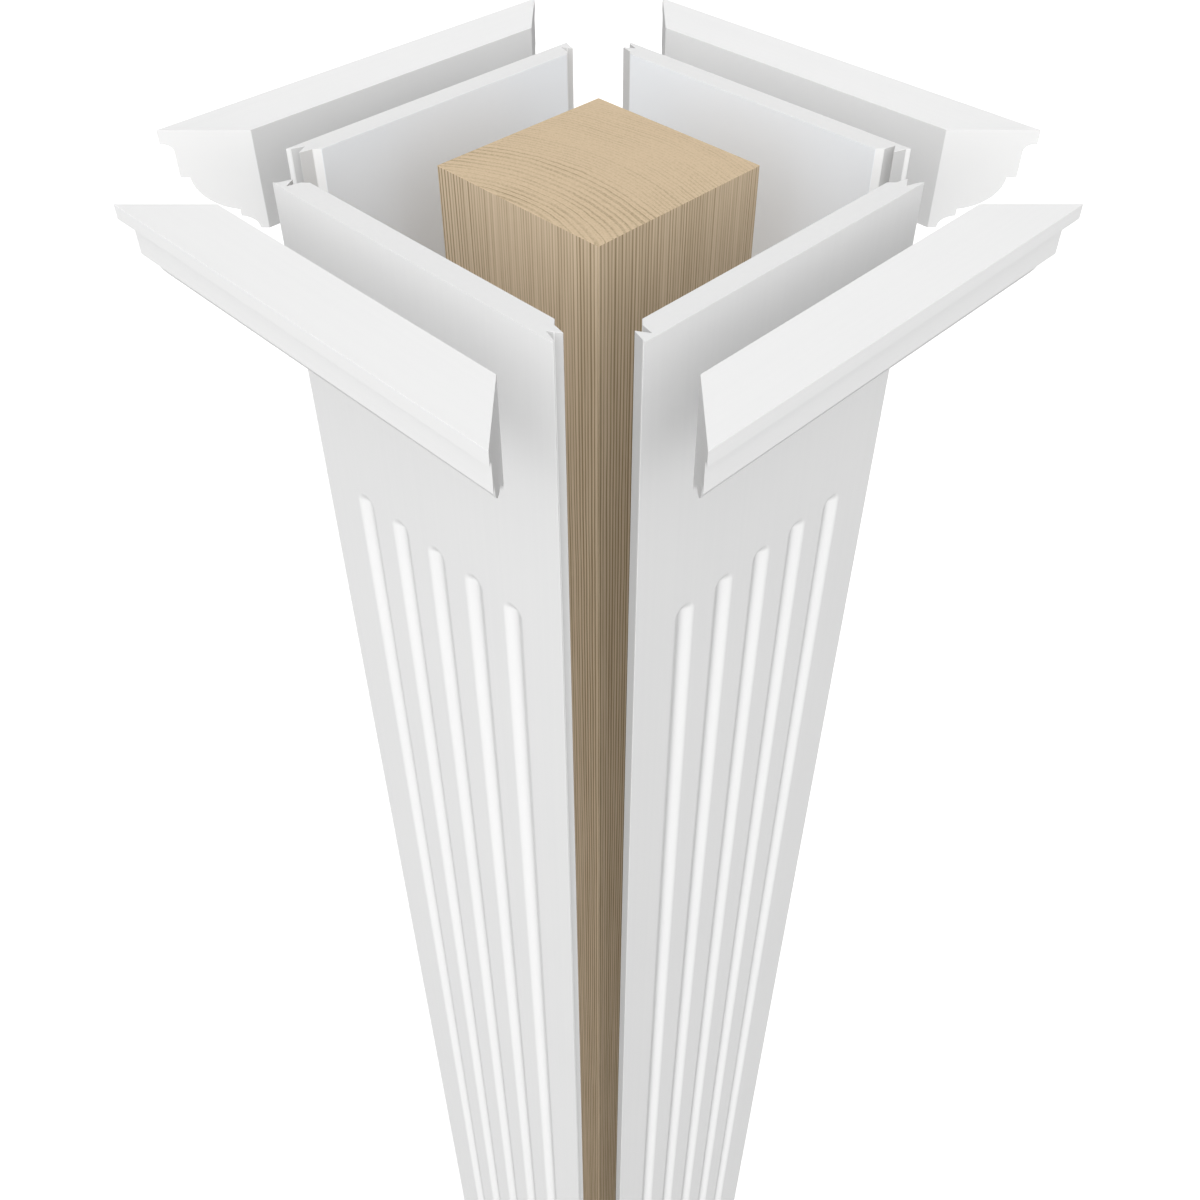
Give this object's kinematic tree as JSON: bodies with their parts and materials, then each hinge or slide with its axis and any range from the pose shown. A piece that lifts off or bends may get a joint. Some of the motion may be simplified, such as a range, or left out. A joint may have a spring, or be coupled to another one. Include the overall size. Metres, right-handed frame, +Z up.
{
  "type": "column wrap",
  "caption": "Square fluted column wrap with lock mitre panels and mitred crown moulding, drawn apart around a solid softwood post.",
  "frame": {"origin": "on the ground, on the column's vertical axis, level with the cut feet of the post and panels", "axes": "+Z up along the column; -Y out through the front panel; +X out through the right panel"},
  "size_m": [0.4702, 0.4702, 2.4384],
  "materials": {
    "post": "dressed, unfinished",
    "panel": "satin",
    "crown": "satin"
  },
  "bodies": {
    "root": {"post": "post", "front_panel": "panel", "right_panel": "panel", "back_panel": "panel", "left_panel": "panel", "front_crown": "crown", "right_crown": "crown", "back_crown": "crown", "left_crown": "crown"}
  },
  "joints": []
}
